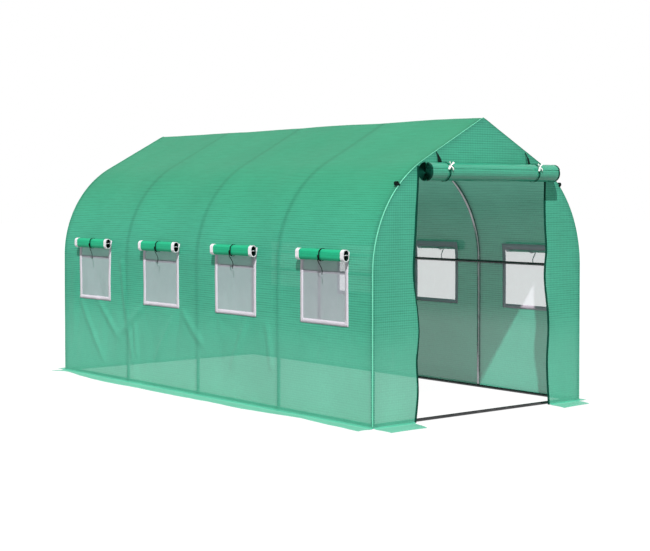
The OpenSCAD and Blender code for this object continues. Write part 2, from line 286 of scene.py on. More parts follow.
def flat_cut(name, rim, step, lift, mat):
    """A sheet cut along the closed outline rim in its own plane, with points step apart inside.
    lift turns (u, v) into a place."""
    us, vs = [p[0] for p in rim], [p[1] for p in rim]
    pts = [Vector(p) for p in rim]
    edges = [(i, (i + 1) % len(rim)) for i in range(len(rim))]
    for i, u in enumerate(np.arange(min(us), max(us), step)):
        for v in np.arange(min(vs), max(vs), step):
            pts.append(Vector((u + step / 2, v + step / 2 * (i % 2))))
    verts, _, faces, _, _, _ = delaunay_2d_cdt(pts, edges, [], 1, 1e-5)
    used = sorted({i for f in faces for i in f})
    number = {old: new for new, old in enumerate(used)}
    uvs = [(verts[i].x, verts[i].y) for i in used]
    return mesh_object(name, [lift(*p) for p in uvs], [[number[i] for i in f] for f in faces], mat, uvs)


def tube_along(name, path, ring, mat):
    """A closed tube whose cross-section ring, (right, up), follows path, (point, right, up)."""
    verts, faces, uvs = [], [], []
    n = len(ring)
    run = 0.0
    for k, (p, r, u) in enumerate(path):
        if k:
            run += (Vector(p) - Vector(path[k - 1][0])).length
        for m, (a, b) in enumerate(ring):
            verts.append(Vector(p) + Vector(r) * a + Vector(u) * b)
            uvs.append((run, m / n))
    for k in range(len(path) - 1):
        for m in range(n):
            a, b = k * n + m, k * n + (m + 1) % n
            faces.append((a, b, b + n, a + n))
    faces.append(tuple(range(n - 1, -1, -1)))
    faces.append(tuple((len(path) - 1) * n + m for m in range(n)))
    return mesh_object(name, verts, faces, mat, uvs)


def dress(piece, slot, *nodes):
    """Parents a piece to the root body and hides the nodes that it replaces. slot is not used."""
    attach(piece, "root")
    if nodes:
        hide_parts(*nodes)


# Materials

def shader(name):
    """An empty material, its node tree and its output node."""
    m = bpy.data.materials.new(name)
    m.use_nodes = True
    nt = m.node_tree
    nt.nodes.clear()
    return m, nt, add(nt, "ShaderNodeOutputMaterial")


def add(nt, kind, **settings):
    """A node whose properties and inputs are set. An input has _ for a space in its name, and takes
    a number, a colour or the socket that is linked to it."""
    n = nt.nodes.new(kind)
    for key, value in settings.items():
        name = key.replace("_", " ")
        if name not in n.inputs:
            setattr(n, key, value)
        elif isinstance(value, bpy.types.NodeSocket):
            nt.links.new(value, n.inputs[name])
        else:
            n.inputs[name].default_value = value
    return n


def math_node(nt, op, a, b=None, clamp=False):
    """A socket with the result of op on a and b, which are numbers or sockets."""
    n = add(nt, "ShaderNodeMath", operation=op, use_clamp=clamp)
    for i, x in enumerate((a, b)):
        if isinstance(x, bpy.types.NodeSocket):
            nt.links.new(x, n.inputs[i])
        elif x is not None:
            n.inputs[i].default_value = x
    return n.outputs[0]


def sums(nt):
    """Functions that give a socket with the product, the sum or the difference of two values."""
    return [partial(math_node, nt, op) for op in ("MULTIPLY", "ADD", "SUBTRACT")]


def smooth(nt, value, start, end, first=0.0, last=1.0):
    """A socket that goes smoothly from first to last while value goes from start to end."""
    return add(nt, "ShaderNodeMapRange", interpolation_type="SMOOTHSTEP", Value=value, From_Min=start,
               From_Max=end, To_Min=first, To_Max=last).outputs["Result"]


def mixed(nt, share, a, b):
    """Shader node a with the given share of shader node b."""
    mix = add(nt, "ShaderNodeMixShader", Fac=share)
    nt.links.new(a.outputs[0], mix.inputs[1])
    nt.links.new(b.outputs[0], mix.inputs[2])
    return mix


def scaled(nt, rgb, shade):
    """A socket with colour rgb times the socket shade."""
    v = add(nt, "ShaderNodeVectorMath", operation="SCALE", Scale=shade)
    v.inputs[0].default_value = rgb
    return v.outputs[0]


def split_uv(nt):
    """Sockets of the UV map's u and v, which are in metres."""
    xy = add(nt, "ShaderNodeSeparateXYZ", Vector=add(nt, "ShaderNodeUVMap", uv_map="UVMap").outputs["UV"])
    return xy.outputs["X"], xy.outputs["Y"]


def thread_lines(nt, coord, period, share):
    """A socket that is 1 on lines every period along coord and 0 between them. share is the part
    of the period that a line takes."""
    t = math_node(nt, "FRACT", math_node(nt, "DIVIDE", coord, period))
    t = math_node(nt, "ABSOLUTE", math_node(nt, "SUBTRACT", t, 0.5))
    return smooth(nt, t, 0.5 * share, 0.0)


def film(name, colour, through, see, low_see=None, inner=None, threads=0.30, cross=0.12, rough=0.42,
         bands=0.0, roof=None, shine=0.18):
    """Reinforced translucent film.

    colour is seen in front light and through in light from behind, and inner are these two on the
    room side. see is the share seen through clearly, low_see the same close to the ground, and a
    film that has it isn't clear on the roof and is painted lighter near the ground, a painted light
    from the white floor. threads and cross say how dark the threads along and across it are.
    bands paints shade over the hoops, by the UV map's u, and roof paints shade on the roof slopes as a darker
    tint that offsets the stronger light there.
    """
    m, nt, out = shader(name)
    times, plus, minus = sums(nt)
    u, v = split_uv(nt)
    along = thread_lines(nt, v, THREAD, 0.85)
    across = thread_lines(nt, u, THREAD, 0.60)
    where = add(nt, "ShaderNodeTexCoord").outputs["Object"]
    height = add(nt, "ShaderNodeSeparateXYZ", Vector=where).outputs["Z"]
    big = add(nt, "ShaderNodeTexNoise", Scale=2.1, Detail=3.0, Roughness=0.55, Vector=where)
    # Each thread has its own strength, which changes along it
    row = add(nt, "ShaderNodeCombineXYZ", X=times(u, 7.0), Y=math_node(nt, "DIVIDE", v, THREAD))
    slub = add(nt, "ShaderNodeTexNoise", Scale=1.0, Detail=2.0, Vector=row.outputs[0])
    grain = add(nt, "ShaderNodeTexNoise", Scale=95.0, Detail=2.0, Vector=where).outputs["Fac"]
    uneven = times(minus(slub.outputs["Fac"], 0.05), 1.6, clamp=True)
    grid = plus(times(times(along, uneven), threads), times(across, cross), clamp=True)

    def by_height(low, high):
        """A socket that is 1 under height low and 0 above height high."""
        return smooth(nt, height, low, high, 1.0, 0.0)

    low = None
    if low_see:
        low = by_height(*CLEAR_Z)
        grid = times(grid, minus(1.0, times(low, 0.75)))
    shade = plus(times(big.outputs["Fac"], 0.22), 0.89)
    shade = times(shade, minus(1.0, grid))
    shade = times(shade, plus(times(grain, 0.20), 0.90))
    if bands:
        # Painted shade over the hoops, where they block the light from behind the film
        bay = math_node(nt, "DIVIDE", minus(u, HOOP_Y[0]), BAY_L)
        off = math_node(nt, "ABSOLUTE", minus(math_node(nt, "FRACT", plus(bay, 4.5)), 0.5))
        # This painted shade shows more on the shoulders and the roof, where the film lies hard on the hoops
        weak = minus(1.0, times(by_height(0.80, 1.15), 0.60))
        shade = times(shade, minus(1.0, times(smooth(nt, off, 0.004, 0.042, bands, 0.0), weak)))

    def blended(a, b, share):
        """Colour a with the given share of colour b."""
        return add(nt, "ShaderNodeMix", data_type="RGBA", Factor=share, A=a, B=b).outputs["Result"]

    def tinted(rgb, roof_shade=roof):
        """Colour rgb with the film's shade, and with the painted roof shade on the roof slopes."""
        plain = scaled(nt, rgb, shade)
        if roof_shade is None:
            return plain
        shaded_roof = add(nt, "ShaderNodeVectorMath", operation="MULTIPLY")
        nt.links.new(plain, shaded_roof.inputs[0])
        shaded_roof.inputs[1].default_value = roof_shade
        return blended(shaded_roof.outputs[0], plain, by_height(LEG_H, ROOF_Z))

    bump = add(nt, "ShaderNodeBump", Strength=0.35, Distance=0.0006, Height=plus(plus(along, across), grain))
    face = tinted(colour)
    if low_see:
        # Painted light: the film is tinted lighter towards the ground, standing in for light from the white
        # floor
        face = blended(face, tinted(GROUND_LIGHT_COLOUR), times(by_height(0.28, 0.76), 0.20))
    glow = tinted(through)
    if inner:
        # Painted shade: on the room side the film's colour in light from behind is greyer and darker
        room = add(nt, "ShaderNodeNewGeometry").outputs["Backfacing"]
        face, glow = (blended(a, tinted(b, None), room) for a, b in zip((face, glow), inner))
    front = add(nt, "ShaderNodeBsdfPrincipled", Roughness=rough, Specular_IOR_Level=shine, Base_Color=face,
                Normal=bump.outputs[0])
    back = add(nt, "ShaderNodeBsdfTranslucent", Color=glow, Normal=bump.outputs[0])
    body = mixed(nt, 0.42, front, back)
    if see:
        share = see
        if low is not None:
            share = plus(times(low, low_see - see), times(by_height(LEG_H, ROOF_Z), see))
        body = mixed(nt, share, body, add(nt, "ShaderNodeBsdfTransparent"))
    nt.links.new(body.outputs[0], out.inputs[0])
    return m


def woven(name, colour, period, rough=0.85, see=0.0, sheen=0.2, through=None, shine=0.5):
    """Woven cloth with threads period apart. see is the share seen through clearly, and through
    its colour in light from behind."""
    m, nt, out = shader(name)
    times, plus, _ = sums(nt)
    u, v = split_uv(nt)
    weave = times(plus(thread_lines(nt, u, period, 0.9), thread_lines(nt, v, period, 0.9)), 0.5)
    where = add(nt, "ShaderNodeTexCoord").outputs["Object"]
    big = add(nt, "ShaderNodeTexNoise", Scale=9.0, Detail=4.0, Vector=where).outputs["Fac"]
    shade = times(plus(times(weave, 0.14), 0.86), plus(times(big, 0.16), 0.92))
    bump = add(nt, "ShaderNodeBump", Strength=0.5, Distance=0.0004, Height=weave)
    body = add(nt, "ShaderNodeBsdfPrincipled", Roughness=rough, Sheen_Weight=sheen, Specular_IOR_Level=shine,
               Base_Color=scaled(nt, colour, shade), Normal=bump.outputs[0])
    if through is not None:
        body = mixed(nt, 0.22, body, add(nt, "ShaderNodeBsdfTranslucent", Color=(*through, 1)))
    if see:
        body = mixed(nt, see, body, add(nt, "ShaderNodeBsdfTransparent"))
    nt.links.new(body.outputs[0], out.inputs[0])
    return m


def zinc(name, low, high):
    """Galvanised tube with faint spangle, whose grey goes from low to high."""
    m, nt, out = shader(name)
    where = add(nt, "ShaderNodeTexCoord").outputs["Object"]
    spangle = add(nt, "ShaderNodeTexVoronoi", Scale=140.0, Vector=where)
    cloud = add(nt, "ShaderNodeTexNoise", Scale=22.0, Detail=4.0, Vector=where).outputs["Fac"]
    grey = add(nt, "ShaderNodeValToRGB", Fac=cloud)
    for stop, at, level, blue in zip(grey.color_ramp.elements, (0.3, 0.7), (low, high), (1.06, 1.05)):
        stop.position = at
        stop.color = (level, level * 1.02, level * blue, 1)
    rough = add(nt, "ShaderNodeMapRange", Value=cloud, To_Min=0.06, To_Max=0.12)
    bump = add(nt, "ShaderNodeBump", Strength=0.03, Distance=0.0002, Height=spangle.outputs["Distance"])
    p = add(nt, "ShaderNodeBsdfPrincipled", Metallic=1.0, Base_Color=grey.outputs["Color"],
            Roughness=rough.outputs["Result"], Normal=bump.outputs[0])
    nt.links.new(p.outputs[0], out.inputs[0])
    return m


WALL_THROUGH = (0.12, 0.54, 0.39)
END_COLOUR = (0.104, 0.56, 0.378)
FILM = film("cover_film", (0.092, 0.585, 0.385), WALL_THROUGH, 0.035, 0.090,
            # inner: the room side, whose greyer colour in light from behind is a painted shade of the inner
            # walls
            inner=((0.10, 0.56, 0.39), (0.145, 0.35, 0.28)), threads=0.34, cross=0.10, bands=0.125,
            # roof: a painted shade, a darker tint on the roof slopes that offsets the stronger light there
            roof=(0.53, 0.74, 0.62))
FRONT_FILM = film("front_film", END_COLOUR, WALL_THROUGH, 0.035, 0.100, threads=0.32, cross=0.15)
BACK_FILM = film("back_film", END_COLOUR, WALL_THROUGH, 0.035, 0.100, threads=0.32, cross=0.15)
FLAP_FILM = film("flap_film", (0.105, 0.62, 0.415), (0.15, 0.56, 0.39), 0.10, threads=0.14, cross=0.06)
ROLL_FILM = film("rolled_film", (0.026, 0.64, 0.34), (0.05, 0.50, 0.32), 0.0, threads=0.12, cross=0.05)
DOOR_FILM = film("rolled_door_film", (0.058, 0.515, 0.335), (0.16, 0.62, 0.47), 0.0, threads=0.30,
                 cross=0.06, rough=0.24, shine=1.0)
# The front-left seam: a real welded seam, drawn lighter as a painted highlight along its sunlit edge
SEAM_HIGHLIGHT_FILM = film("seam_film_highlight", (0.26, 0.84, 0.62), (0.26, 0.80, 0.60), 0.0, threads=0.06, cross=0.0, rough=0.30)
NET = woven("insect_net", (0.79, 0.78, 0.90), 0.002, see=0.54, through=(0.66, 0.66, 0.72), shine=0.2)
TAPE = woven("border_tape", (0.606, 0.568, 0.642), 0.0012)
# The tape's room side: a painted shade, darker and pinker than the tape
TAPE_ROOM_SHADE = woven("border_room_shade", (0.50, 0.40, 0.49), 0.0012, sheen=0.0)
HEM_TAPE = woven("hem_tape", (0.78, 0.75, 0.80), 0.0012)
WEBBING = woven("webbing", (0.004, 0.012, 0.009), 0.0022, sheen=0.0, shine=0.08)
STRAP = woven("strap_webbing", (0.002, 0.070, 0.042), 0.0022, sheen=0.0, shine=0.10)
STITCH = woven("seam_stitch", (0.01, 0.22, 0.14), 0.002, sheen=0.0, shine=0.2)
CORD = woven("white_cord", (0.88, 0.89, 0.87), 0.0015, rough=0.6)
ZIP = woven("zip_tape", (0.001, 0.055, 0.034), 0.0018, sheen=0.0, shine=0.10)
# Near-black film for the inner turns at a roll's ends: a painted shade in the roll's hollow
ROLL_HOLLOW_SHADE = woven("roll_end_shade", (0.004, 0.020, 0.016), 0.002, sheen=0.0, shine=0.05)
ZINC = zinc("galvanised_tube", 0.22, 0.32)
# The level tubes are much darker than the hoops: a painted shade standing in for the dark reflections that
# they show
RAIL_SHADE_ZINC = zinc("dark_tube", 0.045, 0.080)


# The cover: one sheet over the hoops, with its window holes

def cover_point(y, s):
    """Place of the cover at y and at distance s along the outline."""
    x, z, nx, nz = outline(s)
    d = depth_in(y, s)
    return x - nx * d, y, z - nz * d + ridge_lift(x, y)


def arc_s(z):
    """Distance along the outline at height z on the wall or the shoulder."""
    return z if z <= LEG_H else LEG_H + SHOULDER_R * math.asin((z - LEG_H) / SHOULDER_R)


def make_cover():
    """Both walls, shoulders and roof slopes as one sheet with eight holes."""
    ends = HALF_L - 0.001
    reach = WINDOW_W / 2 - NET_LAP
    right = [(yc - reach, yc + reach) for yc in WINDOW_Y]
    left = [(a + d, b + d) for (a, b), d in zip(right, LEFT_SHIFT)]
    low, high = WINDOW_Z0 + NET_LAP, arc_s(WINDOW_Z1 - NET_LAP)
    us = lines(-ends, ends, STEP, [y for pair in left + right for y in pair] + HOOP_Y)[::-1]
    stops = [0.012, 0.03, low, high, LEG_H, LEG_H + ARC_L, HALF_S - RIDGE_R * PITCH, HALF_S]
    vs = lines(0.0, 2 * HALF_S, STEP, stops + [2 * HALF_S - v for v in stops])
    holes = [(a, b, low, high) for a, b in left]
    holes += [(a, b, 2 * HALF_S - high, 2 * HALF_S - low) for a, b in right]
    cover = grid_sheet("cover", us, vs, cover_point, FILM, holes)
    dress(cover, "cover_fabric", "left_wall", "right_wall", "left_shoulder", "right_shoulder",
          "left_roof", "right_roof")


# End sheets

# Places of the doorway's two free edges, as (height, x)
JAMB_LEFT = [(0.0, -0.632), (0.12, -0.616), (0.20, -0.610), (0.41, -0.621), (0.49, -0.613), (0.59, -0.604),
             (0.74, -0.618), (0.82, -0.632), (0.90, -0.644), (1.01, -0.650), (1.09, -0.646), (1.27, -0.631),
             (1.43, -0.622), (1.61, -0.611)]
JAMB_RIGHT = [(0.0, 0.679), (0.09, 0.672), (0.18, 0.664), (0.315, 0.658), (0.45, 0.666), (0.54, 0.672),
              (0.67, 0.664), (0.76, 0.650), (0.85, 0.637), (0.93, 0.630), (1.00, 0.633), (1.11, 0.645),
              (1.25, 0.634), (1.43, 0.626), (1.61, 0.629)]


def along_points(points, x):
    """Smooth value at x of a line through points (x, value)."""
    xs = [p[0] for p in points]
    ys = [p[1] for p in points]
    if x <= xs[0]:
        return ys[0]
    if x >= xs[-1]:
        return ys[-1]
    k = max(i for i in range(len(xs) - 1) if xs[i] <= x)
    slopes = [(ys[i + 1] - ys[i]) / (xs[i + 1] - xs[i]) for i in range(len(xs) - 1)]
    middle = [(a + b) / 2 if a * b > 0 else 0.0 for a, b in zip(slopes, slopes[1:])]
    tangents = [slopes[0], *middle, slopes[-1]]
    h = xs[k + 1] - xs[k]
    t = (x - xs[k]) / h
    return ((1 + 2 * t) * (1 - t) ** 2 * ys[k] + t * (1 - t) ** 2 * h * tangents[k]
            + t * t * (3 - 2 * t) * ys[k + 1] + t * t * (t - 1) * h * tangents[k + 1])


def jamb_x(z, side):
    """Place of the doorway's left or right edge at height z."""
    return along_points(JAMB_LEFT if side < 0 else JAMB_RIGHT, z)


def end_outline(step):
    """Points of the end's outline from the ground at -X over the ridge to the ground at +X."""
    return [(outline(s)[0], outline(s)[1]) for s in lines(0.0, 2 * HALF_S, step, [LEG_H, HALF_S])]


def make_ends():
    """The front sheet round the doorway and the back sheet."""
    def relief(x, z, seed):
        """Small folds of an end sheet, none at its rim."""
        rim = min(half_width(z) - abs(x), RIDGE_Z - z)
        soft = ease(rim, 0.0, 0.12)
        large = 0.007 * wobble(x, z * 0.6, 0.30, seed)
        return soft * (large + 0.0040 * wobble(x + 0.2 * z, z * 0.3, 0.10, seed + 3))

    def front(x, z):
        return x, -HALF_L + FILM_IN + relief(x, z, 1.5), z

    def back(x, z):
        return -x, HALF_L - FILM_IN - relief(x, z, 7.5), z

    rim = end_outline(STEP)
    edge = lines(0.0, DOOR_H, STEP)
    rim += [(jamb_x(z, 1), z) for z in edge]
    rim += [(x, DOOR_H) for x in lines(jamb_x(DOOR_H, -1), jamb_x(DOOR_H, 1), STEP)[::-1][1:-1]]
    rim += [(jamb_x(z, -1), z) for z in edge[::-1]]
    sheet = flat_cut("front_sheet", rim, STEP, front, FRONT_FILM)
    dress(sheet, "cover_fabric", "front_gable", "front_panel_left", "front_panel_right")
    sheet = flat_cut("back_sheet", end_outline(STEP), STEP, back, BACK_FILM)
    dress(sheet, "cover_fabric", "back_panel")


def make_piping():
    """The welded seam along both end hoops, with two rows of stitches at the front corners. The front-left
    seam is drawn lighter, a painted highlight along its sunlit edge.
    """
    ring = [(math.cos(a), math.sin(a)) for a in np.linspace(0, 2 * math.pi, 9)[:-1]]
    for name, y, s0, s1, low_r, top_r, mat in (
            ("seam_front_left", -HALF_L + 0.001, 0.0, HALF_S, 0.0044, 0.0026, SEAM_HIGHLIGHT_FILM),
            ("seam_front_right", -HALF_L + 0.001, HALF_S, 2 * HALF_S, 0.0016, 0.0018, FRONT_FILM),
            ("seam_back", HALF_L - 0.002, 0.0, 2 * HALF_S, 0.0018, 0.0018, BACK_FILM)):
        path = []
        for s in lines(s0, s1, 0.03, [LEG_H, HALF_S]):
            x, z, nx, nz = outline(s)
            d = 0.001 * wobble(s, y, 0.3, 4)
            r = low_r + (top_r - low_r) * ease(min(s, 2 * HALF_S - s), 1.5, 1.9)
            at = (x + nx * d, y, max(z + nz * d, 0.001))
            path.append((at, Vector((nx, 0, nz)) * r, Vector((0, 1, 0)) * r))
        dress(tube_along(name, path, ring, mat), "cover_fabric")
    parts = []
    for side in (-1, 1):
        for z in np.arange(0.02, 1.0, 0.016):
            for dx, dy, out, across in ((0.012, 0.0, (0, -1, 0), (1, 0, 0)),
                                        (0.0, 0.012, (side, 0, 0), (0, 1, 0))):
                at = (side * (HALF_W - dx), -HALF_L + dy, z)
                parts.append(ribbon([at, (*at[:2], z + 0.008)], [out] * 2, across, 0.0022, 0.0012))
    dress(joined("seam_stitches", parts, STITCH), "cover_fabric")


def make_zips():
    """Zip tape along both edges of the doorway."""
    for side, node in ((-1, "door_zip_left"), (1, "door_zip_right")):
        w, t = 0.0135, 0.0025
        ring = [(-t, -t), (w, -t), (w + t * 0.6, 0), (w, t), (-t, t), (-1.6 * t, 0)]
        path = []
        for z in lines(0.002, DOOR_H + (0.08 if side < 0 else -0.005), 0.02):
            x = jamb_x(z, side)
            y = -HALF_L + FILM_IN + 0.0012 * wobble(z, 0, 0.2, 8)
            path.append(((x, y, z), (-side, 0, 0), (0, -1, 0)))
        dress(tube_along(node.replace("door_", ""), path, ring, ZIP), "zip_tape", node)


# Flaps on the ground

# Free edge of the flap along each side, as (y, distance from the middle)
SIDE_EDGE = [(-2.03, 1.131), (-1.70, 1.112), (-1.35, 1.085), (-1.05, 1.120), (-0.755, 1.138), (-0.3, 1.131),
             (0.2, 1.138), (0.73, 1.129), (0.90, 1.139), (1.10, 1.138), (1.32, 1.126), (1.58, 1.095),
             (1.865, 1.053), (1.95, 1.062), (2.012, 1.126)]


def make_flap(name, node, start, end, free, inner):
    """A flap on the ground from start to end along its sewn edge. free(u) is the free edge's place,
    and inner the wall's outward direction."""
    a, b = Vector((*start, 0)), Vector((*end, 0))
    length = (b - a).length
    width = sum((Vector((*free(u), 0)) - (a + (b - a) * u)).length for u in np.linspace(0, 1, 21)) / 21

    def place(u, v):
        p = (a * (1 - u) + b * u) * (1 - v) + Vector((*free(u), 0)) * v
        along = u * length
        rise = 0.0085 * (1 - ease(v * width, 0.0, 0.016))
        ripple = 0.5 + 0.5 * wobble(along, v * 0.1, 0.20, 2 + len(name))
        wave = 0.005 * ease(v, 0.2, 0.6) * (1 - ease(v, 0.85, 1.0)) * ripple
        curl = 0.004 * ease(v, 0.8, 1.0) * max(0.0, wobble(along, 1.0, 0.16, 6 + len(name)))
        side = Vector(inner) * (0.0015 * ease(v, 0.0, 0.05))
        return p.x + side.x, p.y + side.y, 0.0008 + rise + wave + curl

    us = lines(0, 1, STEP / length)
    vs = lines(0, 1, STEP * 0.6 / width, [0.004 / width, 0.008 / width, 0.016 / width])
    flap = grid_sheet(name, us, vs, place, FLAP_FILM, uv=lambda u, v: (u * length, v * width))
    dress(flap, "cover_fabric", node)


def make_flaps():
    """The five flaps. Each free edge below gives (x, y) at the share u of the flap's length."""
    y1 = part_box("right_skirt")[1][1]

    def side_edge(side, u):
        y = -y1 + 2 * y1 * u
        narrow = 0.05 * (1 - ease(u, 0.0, 0.12)) if side > 0 else 0.0
        return side * (along_points(SIDE_EDGE, y) - narrow), y

    def back_edge(u):
        w = SKIRT_Y - 0.006
        return -1.020 + 2.0 * u, w - 0.062 * (1 - ease(u, 0.0, 0.10)) + 0.004 * wobble(u, 0, 0.2, 3)

    def front_edge(near, far, u):
        y = near[1] + (far[1] - near[1]) * u
        return near[0] + (far[0] - near[0]) * u, y + 0.004 * math.sin(math.pi * u)

    for side, name in ((-1, "left"), (1, "right")):
        make_flap(f"flap_{name}", f"{name}_skirt", (side * HALF_W, -y1), (side * HALF_W, y1),
                  partial(side_edge, side), (side, 0, 0))
    make_flap("flap_back", "back_skirt", (-HALF_W, HALF_L), (HALF_W, HALF_L), back_edge, (0, 1, 0))
    for name, start, end, near, far in (
            ("left", (-1.002, -HALF_L - 0.010), (-0.632, -HALF_L), (-1.008, -2.188), (-0.699, -2.190)),
            ("right", (0.679, -HALF_L), (1.0, -HALF_L), (0.638, -2.172), (0.938, -2.149))):
        make_flap(f"flap_front_{name}", f"front_skirt_{name}", start, end, partial(front_edge, near, far),
                  (0, -1, 0))


# Rolled-up sheets, bands and knots

def loose_roll(r, core, turns, steps=36):
    """Cross-section of a round roll, (out, up), from its free edge inwards. Its turns lie close
    outside and wider apart at the core."""
    out = []
    count = int(turns * steps)
    for i in range(count + 1):
        a = 2 * math.pi * i / steps
        q = r - (r - core) * (i / count) ** 1.35
        out.append((q * math.sin(a), q * math.cos(a)))
    return out


def tall_roll(r, gap, turns, c, steps=24):
    """Cross-section of a tall roll, (out, up): round ends c above and below its middle, then one
    loop round the upper one."""
    out = []
    half = steps // 2
    for k in range(2 * turns + 2):
        last = k >= 2 * turns
        for i in range(half + 1):
            a = math.pi * (k + i / half)
            q = r - gap * a / (2 * math.pi)
            if last and k > 2 * turns and i == 0:
                continue
            out.append((-q * math.cos(a), q * math.sin(a) + (c if last or k % 2 == 0 else -c)))
        if k < 2 * turns - 1:
            x, z = out[-1]
            out += [(x, z - 2 * z * t) for t in (0.33, 0.67)]
    return out


def rolled_sheet(name, centre, axis, out_dir, length, curve, turn, mat, bands=(), seed=1, loose=0.0,
                 thick=0.0, flare=0.0, dark_from=None):
    """A sheet rolled up about axis. Returns the piece and the sheet's width.

    curve is its cross-section, (out, up), and turn the angle it is turned by. bands are (from, to,
    material number) shares of its length. The turns from point dark_from on have the third
    material close to both ends, a painted shade in the roll's hollow. loose makes the underside
    wavy, and flare widens one end.
    """
    axis, out_dir, up = Vector(axis), Vector(out_dir), Vector((0, 0, 1))
    ts = lines(-length / 2, length / 2, 0.02, [length * (f - 0.5) for b in bands for f in b[:2]])
    run = [0.0]
    for p, q in zip(curve, curve[1:]):
        run.append(run[-1] + math.hypot(q[0] - p[0], q[1] - p[1]))
    verts, uvs, faces = [], [], []
    cos, sin = math.cos(turn), math.sin(turn)
    n = len(curve)
    for t in ts:
        sway = 0.0018 * wobble(t, 0, 0.25, seed)
        for k, (a, b) in enumerate(curve):
            grow = 1 - 0.02 * (0.5 + 0.5 * wobble(t, k * 0.02, 0.12, seed + 2))
            grow += flare / abs(curve[0][1]) * ease(-t, length / 2 - 0.09, length / 2)
            low = loose * ease(-b, 0.0, 0.05) * wobble(t, 0.0, 0.10, seed + 5)
            u, v = (a * cos - b * sin) * grow, (a * sin + b * cos) * grow
            verts.append(Vector(centre) + axis * t + out_dir * u + up * (v + sway + low))
            uvs.append((t, run[k]))
    for j in range(len(ts) - 1):
        for k in range(n - 1):
            faces.append((j * n + k, j * n + k + 1, (j + 1) * n + k + 1, (j + 1) * n + k))
    obj = mesh_object(name, verts, faces, mat, uvs)
    for j in range(len(ts) - 1):
        share = (ts[j] + ts[j + 1]) / 2 / length + 0.5
        strip = obj.data.polygons[j * (n - 1):(j + 1) * (n - 1)]
        for f0, f1, number in bands:
            if f0 <= share <= f1:
                for face in strip:
                    face.material_index = number
        if dark_from is not None and not 0.10 < share < 0.90:
            for face in strip[dark_from:]:
                face.material_index = 2
    if thick:
        m = obj.modifiers.new("thickness", "SOLIDIFY")
        m.thickness = thick
        m.offset = 0.0
    return obj, run[-1]


def strap_band(centre, axis, right, r, width, thick, wave=0.0, tall=0.0, steps=40):
    """Vertices and faces of a flat band round a roll. tall stretches it by this much up and down."""
    axis, right = Vector(axis), Vector(right)
    up = axis.cross(right)
    if up.z < 0:
        up = -up
    verts, faces = [], []
    for i in range(steps):
        a = 2 * math.pi * i / steps
        d = right * math.cos(a) + up * math.sin(a)
        shift = axis * (wave * math.sin(a)) + up * (tall * max(-1.0, min(1.0, 6 * math.sin(a))))
        for t, w in ((0, -1), (0, 1), (thick, 1), (thick, -1)):
            verts.append(Vector(centre) + d * (r + t) + axis * (w * width / 2) + shift)
    for i in range(steps):
        after = (i + 1) % steps
        for m in range(4):
            k = (m + 1) % 4
            faces.append((i * 4 + m, i * 4 + k, after * 4 + k, after * 4 + m))
    return verts, faces


def ribbon(points, normals, width_dir, width, thick):
    """Vertices and faces of a ribbon along points. width is one number, or one for each point."""
    verts, faces = [], []
    w = Vector(width_dir).normalized()
    widths = width if isinstance(width, (list, tuple)) else [width] * len(points)
    for p, n, wide in zip(points, normals, widths):
        p, n = Vector(p), Vector(n).normalized()
        for a, b in ((-1, 0), (1, 0), (1, 1), (-1, 1)):
            verts.append(p + w * (a * wide / 2) + n * (b * thick))
    for i in range(len(points) - 1):
        for m in range(4):
            a, b = i * 4 + m, i * 4 + (m + 1) % 4
            faces.append((a, b, b + 4, a + 4))
    faces.append((3, 2, 1, 0))
    faces.append(tuple(len(points) * 4 - 4 + m for m in range(4)))
    return verts, faces


def ball(centre, size):
    """Vertices and faces of a small knot."""
    knot = bmesh.new()
    bmesh.ops.create_icosphere(knot, subdivisions=2, radius=1.0)
    verts = [Vector(centre) + Vector([a * b for a, b in zip(v.co, size)]) for v in knot.verts]
    faces = [tuple(v.index for v in f.verts) for f in knot.faces]
    knot.free()
    return verts, faces


def joined(name, parts, mat):
    """One flat-shaded piece of several (vertices, faces)."""
    verts, faces = [], []
    for v, f in parts:
        base = len(verts)
        verts += v
        faces += [tuple(base + i for i in face) for face in f]
    uvs = [(p[0] + p[1], p[2]) for p in verts]
    return mesh_object(name, verts, faces, mat, uvs, smooth=False)


# Windows

def on_wall(side, out, y, z):
    """Point at (y, z) on the left or the right wall, out in front of its film."""
    s = arc_s(z)
    s = s if side < 0 else 2 * HALF_S - s
    x0, z0, nx, nz = outline(s)
    d = depth_in(y, s) - out
    return x0 - nx * d, y, z0 - nz * d


def make_net(side, word, tag, yc):
    """The insect net over a window hole."""
    inset = 0.004
    ys = lines(yc - WINDOW_W / 2 + inset, yc + WINDOW_W / 2 - inset, STEP)
    zs = lines(WINDOW_Z0 + inset, WINDOW_Z1, STEP)
    net = grid_sheet(f"net_{tag}", ys, zs, partial(on_wall, side, 0.0012), NET)
    dress(net, "insect_net", f"{word}_window_nets")


def make_border(side, word, tag, yc):
    """The tape round a window, with a painted shade on the room side: a darker, pinker copy of the tape's
    colour.
    """
    clear = WINDOW_W / 2 - BORDER_W
    z0, z1 = WINDOW_Z0 + BORDER_W, WINDOW_Z1 - BORDER_W
    ys = lines(yc - WINDOW_W / 2, yc + WINDOW_W / 2, STEP, [yc - clear, yc + clear])
    zs = lines(WINDOW_Z0, HEM_TOP, STEP, [z0, z1])
    border = grid_sheet(f"border_{tag}", ys, zs, partial(on_wall, side, 0.0030), [TAPE, TAPE_ROOM_SHADE],
                        [(yc - clear, yc + clear, z0, z1)])
    if side < 0:
        border.data.flip_normals()
    thick = border.modifiers.new("thickness", "SOLIDIFY")
    thick.thickness = 0.0040
    thick.offset = -1.0
    thick.material_offset = 1
    thick.material_offset_rim = 0
    dress(border, "border_tape", f"{word}_window_borders")


